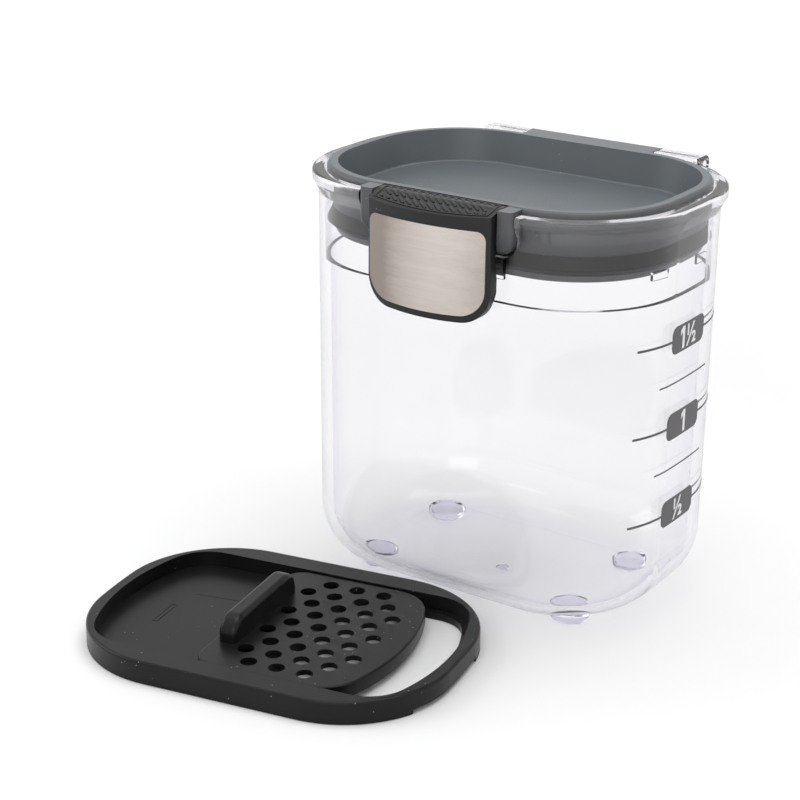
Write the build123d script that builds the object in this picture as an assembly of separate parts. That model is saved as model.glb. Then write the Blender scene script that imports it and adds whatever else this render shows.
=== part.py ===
from build123d import *
from math import asin, cos, degrees, radians, sin
import os

# Latching food jar of clear plastic with a hinged, gasketed lid, and the loose sifter
# insert that lies in front of it. Millimetres, +Z up, the table at z = 0.

# Jar body, outside. The plan is a rectangle with slightly bowed ends and round corners.
BODY_LENGTH = 97.2
BODY_WIDTH = 70.4
END_RADIUS = 181.8
CORNER_RADIUS = 28.8
TOTAL_HEIGHT = 106.8
BODY_DRAFT = 0.55
BOTTOM_RADIUS = 15.0
BASE_THICKNESS = 2.4
FOOT_HEIGHT = 2.2
FOOT_RADIUS = 5.0
FOOT_DOME = 1.4
FOOT_SPAN_X = 57.0
FOOT_SPAN_Y = 33.0

# Jar mouth
RIM_DROP = 1.3
RIM_FLARE = 1.6
RIM_FLARE_HEIGHT = 3.2
RIM_LIP = 2.2
RIM_ROUND = 0.8
RIM_INSIDE = 1.4
UPPER_WALL = 1.6
LEDGE_WIDTH = 1.3
LEDGE_DROP = 22.8

# Notch in the front wall for the latch, and the catch bar under it
NOTCH_HALF = 21.3
NOTCH_DEPTH = 10.3
NOTCH_ROUND = 4.0
CATCH_HALF = 18.5
CATCH_HEIGHT = 4.8
CATCH_OUT = 1.5
CATCH_TAPER = 0.75
CATCH_LAND = 1.1

# Nubs that hold the insert down on the ledge: place along the right end, and size
NUB_LENGTH = 5.0
NUB_HEIGHT = 2.0
NUB_OUT = 0.5
NUB_PLACES = (-13.0, 5.0)
NUB_GAP = 0.3

# Lid
BEAD_GAP = 0.7
BEAD_WIDTH = 2.7
BEAD_HEIGHT = 3.4
BEAD_ROUND = 1.1
SKIRT_SETBACK = 1.6
SKIRT_DROP = 10.4
TRAY_DEPTH = 8.2
TRAY_DRAFT = 1.8
TRAY_ROUND = 0.6
TRAY_FLOOR = 1.6
SEAT_WIDTH = 5.1
SEAL_HEIGHT = 4.6
SEAL_WIDTH = 2.8
SEAL_FREE = 0.55
LIP_HEIGHT = 2.8
LIP_EDGE = 0.3
KEEPER_HEIGHT = 1.6
KEEPER_WIDTH = 7.3
KEEPER_CHAMFER = 0.8
KEEPER_GAP = 0.1

# Back hinge
HINGE_OUT = 4.0
HINGE_DROP = 2.7
KNUCKLE_RADIUS = 2.3
KNUCKLE_HALF = 18.7
LUG_LENGTH = 12.0
LUG_SIDE_GAP = 0.4
LUG_DEPTH = 5.0
HINGE_PIN_RADIUS = 1.0
HINGE_BACK_GAP = 0.5

# Latch
LATCH_WIDTH = 33.6
LATCH_DROP = 0.2
LATCH_TOP_FALL = 1.9
LATCH_HEIGHT = 27.2
LATCH_SIDE_HEIGHT = 26.4
LATCH_CORNER = 7.4
LATCH_FRONT = 6.6
LATCH_BOW_RADIUS = 58.0
LATCH_PIVOT_IN = 0.5
LATCH_KNUCKLE = 2.6
LATCH_HEEL = 2.2
LATCH_BLOCK = 5.2
LATCH_PIN_RADIUS = 0.9
LATCH_EDGE = 0.6
EAR_THICKNESS = 3.8
EAR_OUT = 2.1
EAR_ROUND = 3.0
EAR_FRONT_ROUND = 1.2
EAR_GAP = 0.35
HEEL_SWING_GAP = 0.3
HOOK_FREE = 0.25
HOOK_HEIGHT = 3.2
HOOK_CHAMFER = 2.2
PLATE_MARGIN = 0.9
PLATE_LOW_MARGIN = 1.8
PLATE_TOP = 4.7
PLATE_CORNER = 2.2
PLATE_THICKNESS = 0.7
PLATE_PROUD = 0.3

# Sifter insert
INSERT_GAP = 0.3
FRAME_HEIGHT = 5.6
FRAME_FLOOR = 1.7
FRAME_EDGE = 0.7
RECESS_END_WALL = 2.8
RECESS_SIDE_WALL = 6.3
RECESS_END_RADIUS = 58.0
RECESS_CORNER = 11.0
OPENING_START = 8.0
OPENING_LEDGE = 1.8
OPENING_CORNER = 4.0
FRAME_NOTCH_HEIGHT = 1.1
FRAME_NOTCH_FROM = -20.0
FRAME_NOTCH_TO = 9.0
SLIDER_LENGTH = 42.8
SLIDER_THICKNESS = 3.4
SLIDER_WEB = 1.3
SLIDER_RIM = 1.8
SLIDER_SIDE_GAP = 0.3
SLIDER_UNDER_GAP = 0.1
SLIDER_CORNER = 5.0
SLIDER_EDGE = 0.5
SLIDER_OPEN_BY = 11.3
HOLE_DIAMETER = 4.0
HOLE_PITCH = 7.2
HOLE_ROW_MARGIN = 4.7
HOLE_START = 12.8
HOLE_COUNTS = (3, 4, 4, 4, 4, 4, 4, 4, 3)
HANDLE_FROM_END = 1.4
HANDLE_LENGTH = 32.0
HANDLE_THICKNESS = 4.8
HANDLE_HEIGHT = 6.0
HANDLE_END_ROUND = 4.6
HANDLE_EDGE = 1.3

# Where the insert lies: its centre seen from the jar's centre, and its turn in degrees
INSERT_X = -22.2
INSERT_FRONT_GAP = 0.8
INSERT_TURN = 10.5

# Pins: gap where a piece turns on one, gap where it is seated, and how far into its seat
# an end goes, as a share of the seat's length
RUNNING_GAP = 0.05
PIN_SEAT_GAP = 0.02
PIN_REACH = 0.8

# Heights and lines that several pieces share
RIM_TOP = TOTAL_HEIGHT - RIM_DROP
NOTCH_BOTTOM = RIM_TOP - NOTCH_DEPTH
LEDGE_Z = TOTAL_HEIGHT - LEDGE_DROP
LOWER_WALL = UPPER_WALL + LEDGE_WIDTH
BEAD_OFFSET = -(RIM_INSIDE + BEAD_GAP)
TRAY_OFFSET = BEAD_OFFSET - BEAD_WIDTH
SKIRT_OFFSET = BEAD_OFFSET - SKIRT_SETBACK
SKIRT_Z = TOTAL_HEIGHT - SKIRT_DROP
SEAL_Z = SKIRT_Z - SEAL_HEIGHT
KEEPER_Z = SEAL_Z - KEEPER_HEIGHT
FRONT = -BODY_WIDTH / 2
BACK = BODY_WIDTH / 2
HINGE_Y = BACK + HINGE_OUT
HINGE_Z = TOTAL_HEIGHT - HINGE_DROP
LATCH_TOP = TOTAL_HEIGHT - LATCH_DROP
LATCH_AXIS_Y = FRONT + LATCH_PIVOT_IN
LATCH_AXIS_Z = LATCH_TOP - LATCH_KNUCKLE
EAR_HEIGHT = SKIRT_DROP - LATCH_DROP
HEEL_SWING = (LATCH_HEEL**2 + LATCH_KNUCKLE**2) ** 0.5 + HEEL_SWING_GAP
CATCH_FACE = FRONT - CATCH_OUT
LATCH_BACK = CATCH_FACE - HOOK_FREE
BOW_CENTRE_Y = FRONT - LATCH_FRONT + LATCH_BOW_RADIUS
INSERT_OFFSET = -(UPPER_WALL + INSERT_GAP)
SLIDER_WIDTH = BODY_WIDTH + 2 * (INSERT_OFFSET - RECESS_SIDE_WALL - SLIDER_SIDE_GAP)
HOLE_ROW_PITCH = (SLIDER_WIDTH - 2 * HOLE_ROW_MARGIN) / (len(HOLE_COUNTS) - 1)


def rounded_plan(half_length, half_width, end_radius, corner_radius):
    """Flat plan with straight long sides, bowed ends and round corners, all tangent."""
    corner_y = half_width - corner_radius
    turn = degrees(asin(corner_y / (end_radius - corner_radius)))
    end_x = half_length - end_radius
    corner_x = end_x + (end_radius - corner_radius) * cos(radians(turn))
    with BuildSketch() as plan:
        with BuildLine():
            CenterArc((end_x, 0), end_radius, -turn, 2 * turn)
            CenterArc((corner_x, corner_y), corner_radius, turn, 90 - turn)
            Line((corner_x, half_width), (-corner_x, half_width))
            CenterArc((-corner_x, corner_y), corner_radius, 90, 90 - turn)
            CenterArc((-end_x, 0), end_radius, 180 - turn, 2 * turn)
            CenterArc((-corner_x, -corner_y), corner_radius, 180 + turn, 90 - turn)
            Line((-corner_x, -half_width), (corner_x, -half_width))
            CenterArc((corner_x, -corner_y), corner_radius, 270, 90 - turn)
        make_face()
    return plan.sketch


def body_plan(offset):
    """The jar's outside plan, moved outwards by offset."""
    return rounded_plan(
        BODY_LENGTH / 2 + offset,
        BODY_WIDTH / 2 + offset,
        END_RADIUS + offset,
        CORNER_RADIUS + offset,
    )


def tapered(low_z, low_offset, high_z, high_offset):
    """Solid between two heights whose wall leans from one offset of the plan to another."""
    low = Pos(0, 0, low_z) * body_plan(low_offset)
    high = Pos(0, 0, high_z) * body_plan(high_offset)
    return loft([low, high], ruled=True)


def rounded_foot_edge(solid, radius):
    """Round the lowest edge of a cup shape."""
    return fillet(solid.faces().sort_by(Axis.Z)[0].edges(), radius)


def rounded_top_edge(solid, radius):
    """Round the highest edges of a solid."""
    return fillet(solid.faces().sort_by(Axis.Z)[-1].edges(), radius)


def block(low, high):
    """Box between two corners."""
    size = [b - a for a, b in zip(low, high)]
    return Pos(*low) * Box(*size, align=(Align.MIN, Align.MIN, Align.MIN))


def rod(radius, half_length, y, z):
    """Round bar along X, centred on the jar's middle."""
    return Pos(0, y, z) * Rot(0, 90, 0) * Cylinder(radius, 2 * half_length)


def along_x(points, half_length):
    """Profile given as (y, z) points, extruded both ways along X."""
    face = Plane.YZ * make_face(Polyline(*points, close=True))
    return extrude(face, half_length, both=True)


def jar():
    """Clear jar: drafted wall, round bottom, flared rim, inner ledge, feet and hinge lugs."""
    lip_z = RIM_TOP - RIM_LIP
    wall_top = lip_z - RIM_FLARE_HEIGHT
    solid = rounded_foot_edge(tapered(FOOT_HEIGHT, -BODY_DRAFT, wall_top, 0), BOTTOM_RADIUS)
    solid += tapered(wall_top, 0, lip_z, RIM_FLARE)
    solid += rounded_top_edge(tapered(lip_z, RIM_FLARE, RIM_TOP, RIM_FLARE), RIM_ROUND)
    for x in (-FOOT_SPAN_X / 2, FOOT_SPAN_X / 2):
        for y in (-FOOT_SPAN_Y / 2, FOOT_SPAN_Y / 2):
            solid += Pos(x, y, 0) * foot()
    for side in (-1, 1):
        solid += lug(side)

    # the bar that the latch hooks over leans back towards its foot
    catch_bottom = NOTCH_BOTTOM - CATCH_HEIGHT
    solid += along_x(
        [
            (FRONT + UPPER_WALL / 2, NOTCH_BOTTOM),
            (CATCH_FACE, NOTCH_BOTTOM),
            (CATCH_FACE, NOTCH_BOTTOM - CATCH_LAND),
            (CATCH_FACE + CATCH_TAPER, catch_bottom),
            (FRONT + UPPER_WALL / 2, catch_bottom),
        ],
        CATCH_HALF,
    )

    inside_foot = FOOT_HEIGHT + BASE_THICKNESS
    lower = tapered(inside_foot, -BODY_DRAFT - LOWER_WALL, LEDGE_Z, -LOWER_WALL)
    solid -= rounded_foot_edge(lower, BOTTOM_RADIUS - LOWER_WALL)
    solid -= tapered(LEDGE_Z, -UPPER_WALL, RIM_TOP, -RIM_INSIDE)

    solid -= front_notch()
    back_gap_z = HINGE_Z - HINGE_BACK_GAP - LUG_SIDE_GAP
    clear = KNUCKLE_HALF + LUG_SIDE_GAP
    solid -= block((-clear, BACK / 2, back_gap_z), (clear, HINGE_Y, TOTAL_HEIGHT))
    solid -= rod(KNUCKLE_RADIUS + LUG_SIDE_GAP, clear, HINGE_Y, HINGE_Z)
    solid -= rod(HINGE_PIN_RADIUS + PIN_SEAT_GAP, KNUCKLE_HALF + LUG_LENGTH, HINGE_Y, HINGE_Z)

    nub_z = LEDGE_Z + FRAME_HEIGHT + NUB_GAP
    middle = -UPPER_WALL / 2
    nub_ring = tapered(nub_z, middle, nub_z + NUB_HEIGHT, middle)
    inside = -UPPER_WALL - NUB_OUT
    nub_ring -= tapered(nub_z, inside, nub_z + NUB_HEIGHT, inside)
    for y in NUB_PLACES:
        low = (BODY_LENGTH / 4, y - NUB_LENGTH / 2, nub_z)
        solid += nub_ring & block(low, (BODY_LENGTH, y + NUB_LENGTH / 2, nub_z + NUB_HEIGHT))
    return solid


def foot():
    """Round foot with a flat underside and a domed edge."""
    on_table = (Align.CENTER, Align.CENTER, Align.MIN)
    body = Cylinder(FOOT_RADIUS, FOOT_HEIGHT + BASE_THICKNESS / 2, align=on_table)
    return fillet(body.edges().sort_by(Axis.Z)[0], FOOT_DOME)


def lug(side):
    """Clear lug beside the lid's knuckle: a round end over the axis, joined to the rim."""
    start = KNUCKLE_HALF + LUG_SIDE_GAP
    top = HINGE_Z + KNUCKLE_RADIUS
    low = (start, BACK - UPPER_WALL / 2, top - LUG_DEPTH)
    high = (start + LUG_LENGTH, HINGE_Y, top)
    arm = block(low, high)
    end = Rot(0, 90, 0) * Cylinder(KNUCKLE_RADIUS, LUG_LENGTH)
    arm += Pos(start + LUG_LENGTH / 2, HINGE_Y, HINGE_Z) * end
    if side < 0:
        arm = mirror(arm, Plane.YZ)
    return arm


def front_notch():
    """U-shaped opening cut down through the front wall."""
    height = TOTAL_HEIGHT - NOTCH_BOTTOM
    low = (-NOTCH_HALF, 2 * FRONT, NOTCH_BOTTOM)
    cut = block(low, (NOTCH_HALF, FRONT / 2, NOTCH_BOTTOM + 2 * height))
    return fillet(cut.edges().filter_by(Axis.Y).group_by(Axis.Z)[0], NOTCH_ROUND)


def lid():
    """Grey lid: bead, tray, skirt, hinge knuckle and the two ears that hold the latch."""
    bead_z = TOTAL_HEIGHT - BEAD_HEIGHT
    bead = tapered(bead_z, BEAD_OFFSET, TOTAL_HEIGHT, BEAD_OFFSET)
    solid = rounded_top_edge(bead, BEAD_ROUND)
    solid += tapered(SKIRT_Z, SKIRT_OFFSET, bead_z, SKIRT_OFFSET)
    solid -= rod(HEEL_SWING, LATCH_WIDTH / 2 + EAR_GAP, LATCH_AXIS_Y, LATCH_AXIS_Z)
    solid += knuckle()
    for side in (-1, 1):
        solid += ear(side)

    tray_z = TOTAL_HEIGHT - TRAY_DEPTH
    tray = tapered(tray_z, TRAY_OFFSET - TRAY_DRAFT, TOTAL_HEIGHT, TRAY_OFFSET)
    solid -= rounded_foot_edge(tray, TRAY_ROUND)
    under = SKIRT_OFFSET - SEAT_WIDTH
    solid -= tapered(SKIRT_Z, under, tray_z - TRAY_FLOOR, under)
    solid -= rod(HINGE_PIN_RADIUS + RUNNING_GAP, KNUCKLE_HALF, HINGE_Y, HINGE_Z)
    solid -= rod(LATCH_PIN_RADIUS + PIN_SEAT_GAP, latch_pin_half(), LATCH_AXIS_Y, LATCH_AXIS_Z)
    return solid


def knuckle():
    """Flat arm that reaches back over the rim to a round knuckle on the hinge line."""
    arm_low = (-KNUCKLE_HALF, BACK + BEAD_OFFSET - BEAD_WIDTH / 2, HINGE_Z - HINGE_BACK_GAP)
    arm_high = (KNUCKLE_HALF, HINGE_Y, HINGE_Z + KNUCKLE_RADIUS)
    return block(arm_low, arm_high) + rod(KNUCKLE_RADIUS, KNUCKLE_HALF, HINGE_Y, HINGE_Z)


def ear(side):
    """Ear beside the latch, rounded at its lower corner and lower front edge."""
    inner = LATCH_WIDTH / 2 + EAR_GAP
    low = (inner, FRONT - EAR_OUT, LATCH_TOP - EAR_HEIGHT)
    high = (inner + EAR_THICKNESS, FRONT - SKIRT_OFFSET + BEAD_WIDTH / 2, LATCH_TOP)
    plate = block(low, high)
    outer_low = plate.edges().filter_by(Axis.Y).group_by(Axis.Z)[0].sort_by(Axis.X)[-1]
    plate = fillet(outer_low, EAR_ROUND)
    front_low = plate.edges().group_by(Axis.Z)[0].sort_by(Axis.Y)[0]
    plate = fillet(front_low, EAR_FRONT_ROUND)
    if side < 0:
        plate = mirror(plate, Plane.YZ)
    return plate


def latch_pin_half():
    """Half length of the latch pin: it ends inside the ears."""
    return LATCH_WIDTH / 2 + EAR_GAP + EAR_THICKNESS * PIN_REACH


def gasket():
    """Silicone ring under the skirt with a wedge-shaped lip that leans out to the wall."""
    inner = SKIRT_OFFSET - SEAL_WIDTH
    tip = -(UPPER_WALL + SEAL_FREE)
    tip_z = SKIRT_Z - LIP_HEIGHT
    ring = tapered(tip_z, tip, SKIRT_Z, SKIRT_OFFSET)
    ring += tapered(tip_z - LIP_EDGE, tip, tip_z, tip)
    ring += tapered(SEAL_Z, SKIRT_OFFSET, tip_z - LIP_EDGE, tip)
    return ring - tapered(SEAL_Z, inner, SKIRT_Z, inner)


def keeper():
    """Ring screwed up under the lid: it clamps the gasket and is open in the middle."""
    outer = tapered(KEEPER_Z, SKIRT_OFFSET - KEEPER_CHAMFER, SEAL_Z, SKIRT_OFFSET)
    seal_inner = SKIRT_OFFSET - SEAL_WIDTH - KEEPER_GAP
    outer += tapered(SEAL_Z, seal_inner, SKIRT_Z, seal_inner)
    lid_under = TOTAL_HEIGHT - TRAY_DEPTH - TRAY_FLOOR
    rib = SKIRT_OFFSET - SEAT_WIDTH - KEEPER_GAP
    outer += tapered(SKIRT_Z, rib, lid_under, rib)
    inner = SKIRT_OFFSET - KEEPER_WIDTH
    return outer - tapered(KEEPER_Z, inner, lid_under, inner)


def latch_front_face(margin, low_margin, top, corner):
    """Front outline of the latch, or of the plate on it when drawn in by margins."""
    half = LATCH_WIDTH / 2 - margin
    side_z = LATCH_TOP - LATCH_SIDE_HEIGHT + low_margin
    low_z = LATCH_TOP - LATCH_HEIGHT + low_margin
    with BuildSketch(Plane.XZ) as face:
        with BuildLine():
            Line((-half, top), (half, top))
            Line((half, top), (half, side_z))
            ThreePointArc((half, side_z), (0, low_z), (-half, side_z))
            Line((-half, side_z), (-half, top))
        make_face()
        fillet(face.vertices().group_by(Axis.Y)[0], LATCH_CORNER - margin)
        if corner > 0:
            fillet(face.vertices().group_by(Axis.Y)[-1], corner)
    return face.sketch


def latch():
    """Black latch: knuckle and square heel, falling top, bowed front, hook, plate pocket."""
    low_z = LATCH_TOP - LATCH_HEIGHT
    hook_tip = LATCH_BACK + CATCH_TAPER
    hook_z = NOTCH_BOTTOM - CATCH_HEIGHT
    front_y = FRONT - LATCH_FRONT
    solid = along_x(
        [
            (LATCH_AXIS_Y, LATCH_TOP),
            (front_y, LATCH_TOP - LATCH_TOP_FALL),
            (front_y, low_z),
            (LATCH_BACK, low_z),
            (LATCH_BACK, hook_z - HOOK_HEIGHT - HOOK_CHAMFER),
            (hook_tip, hook_z - HOOK_HEIGHT),
            (hook_tip, hook_z),
            (LATCH_BACK, NOTCH_BOTTOM - CATCH_LAND),
            (LATCH_BACK, LATCH_TOP - LATCH_BLOCK),
            (LATCH_AXIS_Y, LATCH_TOP - LATCH_BLOCK),
            (LATCH_AXIS_Y, LATCH_AXIS_Z),
            (LATCH_AXIS_Y + LATCH_HEEL, LATCH_AXIS_Z),
            (LATCH_AXIS_Y + LATCH_HEEL, LATCH_TOP),
        ],
        LATCH_WIDTH / 2,
    )
    outline = extrude(latch_front_face(0, 0, LATCH_TOP, 0), -2 * FRONT)
    solid = (solid & outline) & bow(0)
    bottom = solid.edges().filter_by(lambda e: e.center().Y < LATCH_BACK - CATCH_OUT)
    solid = fillet(bottom, LATCH_EDGE)
    solid += rod(LATCH_KNUCKLE, LATCH_WIDTH / 2, LATCH_AXIS_Y, LATCH_AXIS_Z)
    solid -= rod(LATCH_PIN_RADIUS + RUNNING_GAP, LATCH_WIDTH, LATCH_AXIS_Y, LATCH_AXIS_Z)
    return solid - latch_plate()


def bow(out):
    """Upright cylinder that gives the latch its bowed front."""
    tall = 3 * LATCH_HEIGHT
    return Pos(0, BOW_CENTRE_Y, LATCH_TOP) * Cylinder(LATCH_BOW_RADIUS + out, tall)


def latch_plate():
    """Thin bowed steel plate let into the front of the latch."""
    face = latch_front_face(PLATE_MARGIN, PLATE_LOW_MARGIN, LATCH_TOP - PLATE_TOP, PLATE_CORNER)
    prism = extrude(face, -2 * FRONT)
    return (prism & bow(PLATE_PROUD)) - bow(PLATE_PROUD - PLATE_THICKNESS)


def recess_plan(inset):
    """Plan of the insert's recess, drawn in by inset."""
    half_length = BODY_LENGTH / 2 + INSERT_OFFSET - RECESS_END_WALL - inset
    half_width = BODY_WIDTH / 2 + INSERT_OFFSET - RECESS_SIDE_WALL - inset
    return rounded_plan(half_length, half_width, RECESS_END_RADIUS - inset, RECESS_CORNER - inset)


def sifter_frame():
    """Black insert: rim, recess for the slider and a floor that is open at its right."""
    solid = extrude(body_plan(INSERT_OFFSET), FRAME_HEIGHT)
    solid = rounded_top_edge(solid, FRAME_EDGE)
    solid -= Pos(0, 0, FRAME_FLOOR) * extrude(recess_plan(0), FRAME_HEIGHT)
    window = extrude(recess_plan(OPENING_LEDGE), FRAME_FLOOR)
    window &= block((OPENING_START, FRONT, 0), (BODY_LENGTH / 2, BACK, FRAME_FLOOR))
    left_edges = window.edges().filter_by(Axis.Z).group_by(Axis.X)[0]
    solid -= fillet(left_edges, OPENING_CORNER)
    notch_x = BODY_LENGTH / 2 + INSERT_OFFSET - RECESS_END_WALL - RECESS_CORNER
    low = (notch_x, FRAME_NOTCH_FROM, 0)
    high = (BODY_LENGTH, FRAME_NOTCH_TO, FRAME_NOTCH_HEIGHT)
    cut = block(low, high) - extrude(recess_plan(0), FRAME_NOTCH_HEIGHT)
    return solid - cut


def slider():
    """Perforated plate with its bar handle, drawn back from the closed place."""
    closed = recess_plan(SLIDER_SIDE_GAP)
    right = BODY_LENGTH / 2 + INSERT_OFFSET - RECESS_END_WALL - SLIDER_SIDE_GAP - SLIDER_OPEN_BY
    left = right - SLIDER_LENGTH
    low_z = FRAME_FLOOR + SLIDER_UNDER_GAP
    plate = Pos(-SLIDER_OPEN_BY, 0, low_z) * extrude(closed, SLIDER_THICKNESS)
    plate &= block((left, FRONT, low_z), (right, BACK, low_z + SLIDER_THICKNESS))
    plate = fillet(plate.edges().filter_by(Axis.Z).group_by(Axis.X)[0], SLIDER_CORNER)
    plate = rounded_top_edge(plate, SLIDER_EDGE)

    # hollow from below: a thin web inside a rim, so light comes up through the holes
    hollow_top = low_z + SLIDER_THICKNESS - SLIDER_WEB
    inside_rim = recess_plan(SLIDER_SIDE_GAP + SLIDER_RIM)
    hollow = Pos(-SLIDER_OPEN_BY, 0, low_z) * extrude(inside_rim, hollow_top - low_z)
    hollow &= block((left + SLIDER_RIM, FRONT, low_z), (right, BACK, hollow_top))
    plate -= hollow

    middle_row = (len(HOLE_COUNTS) - 1) / 2
    for row, count in enumerate(HOLE_COUNTS):
        stagger = HOLE_PITCH / 2 if row % 2 else 0
        y = (middle_row - row) * HOLE_ROW_PITCH
        for place in range(count):
            x = left + HOLE_START + place * HOLE_PITCH - stagger
            plate -= Pos(x, y, low_z) * Cylinder(HOLE_DIAMETER / 2, 3 * SLIDER_THICKNESS)

    top_z = low_z + SLIDER_THICKNESS
    low = (left + HANDLE_FROM_END, -HANDLE_LENGTH / 2, top_z - SLIDER_THICKNESS / 2)
    high = (left + HANDLE_FROM_END + HANDLE_THICKNESS, HANDLE_LENGTH / 2, top_z + HANDLE_HEIGHT)
    bar = block(low, high)
    bar = fillet(bar.edges().filter_by(Axis.X).group_by(Axis.Z)[-1], HANDLE_END_ROUND)
    sides = bar.edges().filter_by(lambda e: e.center().Z > top_z)
    sides = sides.filter_by(lambda e: abs(e.tangent_at(0.5).X) < 0.5)
    bar = fillet(sides, HANDLE_EDGE)
    return plate + bar


def plan_reach(half_length, half_width, end_radius, corner_radius, angle):
    """How far the plan reaches from its centre in the direction of an angle."""
    corner_y = half_width - corner_radius
    turn = asin(corner_y / (end_radius - corner_radius))
    corner_x = half_length - end_radius + (end_radius - corner_radius) * cos(turn)
    if angle < turn:
        return (half_length - end_radius) * cos(angle) + end_radius
    return corner_x * cos(angle) + corner_y * sin(angle) + corner_radius


insert_size = (
    BODY_LENGTH / 2 + INSERT_OFFSET,
    BODY_WIDTH / 2 + INSERT_OFFSET,
    END_RADIUS + INSERT_OFFSET,
    CORNER_RADIUS + INSERT_OFFSET,
)
reach_x = plan_reach(*insert_size, radians(INSERT_TURN))
reach_y = plan_reach(*insert_size, radians(90 - INSERT_TURN))

# the insert lies close in front of the jar's rounded foot
rise = BOTTOM_RADIUS - (FRAME_HEIGHT - FOOT_HEIGHT)
foot_inset = BODY_DRAFT + BOTTOM_RADIUS - (BOTTOM_RADIUS**2 - rise**2) ** 0.5
insert_y = FRONT + foot_inset - INSERT_FRONT_GAP - reach_y

# the origin is under the middle of the jar and insert together
left_x = INSERT_X - reach_x
right_x = BODY_LENGTH / 2 + RIM_FLARE
front_y = insert_y - reach_y
back_y = HINGE_Y + KNUCKLE_RADIUS
home = Pos(-(left_x + right_x) / 2, -(front_y + back_y) / 2, 0)
insert_place = home * Pos(INSERT_X, insert_y, 0) * Rot(0, 0, INSERT_TURN)

hinge_pin_half = KNUCKLE_HALF + LUG_SIDE_GAP + LUG_LENGTH * PIN_REACH
pieces = {
    "jar_body": home * jar(),
    "lid_tray": home * lid(),
    "lid_gasket": home * gasket(),
    "lid_keeper_ring": home * keeper(),
    "lid_hinge_pin": home * rod(HINGE_PIN_RADIUS, hinge_pin_half, HINGE_Y, HINGE_Z),
    "latch_body": home * latch(),
    "latch_steel_plate": home * latch_plate(),
    "latch_pin": home * rod(LATCH_PIN_RADIUS, latch_pin_half(), LATCH_AXIS_Y, LATCH_AXIS_Z),
    "sifter_frame": insert_place * sifter_frame(),
    "sifter_slider": insert_place * slider(),
}
os.makedirs("parts", exist_ok=True)
for name, piece in pieces.items():
    export_step(piece, f"parts/{name}.step")

print("jar centre", home.position)
print("lid hinge", (home * Pos(0, HINGE_Y, HINGE_Z)).position)
print("latch hinge", (home * Pos(0, LATCH_AXIS_Y, LATCH_AXIS_Z)).position)
print("insert centre", insert_place.position)
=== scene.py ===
# %% [markdown]
# # A latching food jar and its sifter insert
# The object is a clear jar with a hinged grey lid, a black latch faced with brushed steel,
# and a loose black insert with a sliding perforated plate. The engineering model gives every
# rigid piece its exact shape and place. This lesson adds what that model leaves out: the
# camera, the light, the plastics and metal, the printed measuring marks and the fine relief.

# %% Load the frame
import math

import bmesh
import bpy
from mathutils import Matrix, Vector


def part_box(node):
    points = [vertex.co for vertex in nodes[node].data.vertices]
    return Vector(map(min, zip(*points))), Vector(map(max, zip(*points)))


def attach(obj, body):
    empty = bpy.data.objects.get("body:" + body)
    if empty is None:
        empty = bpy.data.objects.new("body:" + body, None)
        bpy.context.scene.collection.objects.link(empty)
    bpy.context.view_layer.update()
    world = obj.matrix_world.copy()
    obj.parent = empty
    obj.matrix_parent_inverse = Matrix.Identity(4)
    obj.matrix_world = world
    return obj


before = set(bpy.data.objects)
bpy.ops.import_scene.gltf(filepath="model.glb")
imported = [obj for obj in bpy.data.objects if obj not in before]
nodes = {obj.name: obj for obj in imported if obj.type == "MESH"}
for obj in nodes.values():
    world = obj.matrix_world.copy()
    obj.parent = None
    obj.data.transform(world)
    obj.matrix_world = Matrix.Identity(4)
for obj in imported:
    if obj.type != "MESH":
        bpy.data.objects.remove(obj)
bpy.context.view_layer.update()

print("nodes", sorted(nodes))

# %% [markdown]
# ## Where things are
# The jar and the insert share one frame, so a few measured places are enough to hang
# everything else on. They are read from the nodes, so they follow the model. Only the turn of
# the insert on the table is given here, because a box round a turned piece doesn't tell it.

# %% Shared places
MM = 0.001
INSERT_TURN = math.radians(10.5)


def middle_of(name):
    """Middle of the box round a node."""
    low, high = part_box(name)
    return (Vector(low) + Vector(high)) / 2


JAR_X = middle_of("jar_body").x
JAR_Y = middle_of("lid_keeper_ring").y
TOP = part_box("lid_tray")[1].z
INSERT = middle_of("sifter_frame")
INSERT.z = 0
print("jar centre", round(JAR_X, 4), round(JAR_Y, 4), "insert centre", INSERT)

# %% [markdown]
# ## The camera
# The photograph looks down a little on the front right corner, from about half a metre.
# A long lens keeps the upright walls nearly parallel. The camera is turned by building its
# three axes from a heading, a dip and a small roll, which is easier to tune than angles.

# %% Camera
LENS = 89.8
SENSOR = 36
CLIP_START = 0.01
CAMERA_FROM_LID = Vector((0.2424, -0.4079, 0.1173))
HEADING, DIP, ROLL = 34.12, 20.61, 0.51


def camera_axes(heading, dip, roll):
    """Right, up and forward of a camera with that heading, dip and roll, in degrees."""
    heading, dip, roll = (math.radians(angle) for angle in (heading, dip, roll))
    flat = math.cos(dip)
    forward = Vector((-math.sin(heading) * flat, math.cos(heading) * flat, -math.sin(dip)))
    right = forward.cross(Vector((0, 0, 1))).normalized()
    up = right.cross(forward)
    rolled_right = math.cos(roll) * right + math.sin(roll) * up
    rolled_up = math.cos(roll) * up - math.sin(roll) * right
    return rolled_right, rolled_up, forward


camera_data = bpy.data.cameras.new("photo_camera")
camera_data.lens = LENS
camera_data.sensor_width = SENSOR
camera_data.clip_start = CLIP_START
camera = bpy.data.objects.new("photo_camera", camera_data)
bpy.context.scene.collection.objects.link(camera)
right, up, forward = camera_axes(HEADING, DIP, ROLL)
turned = Matrix((right, up, -forward)).transposed().to_4x4()
camera_place = Vector((JAR_X, JAR_Y, TOP)) + CAMERA_FROM_LID
camera.matrix_world = Matrix.Translation(camera_place) @ turned
bpy.context.scene.camera = camera
bpy.context.scene.view_settings.view_transform = "Standard"
print("camera at", [round(v, 3) for v in camera.matrix_world.translation])

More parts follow.
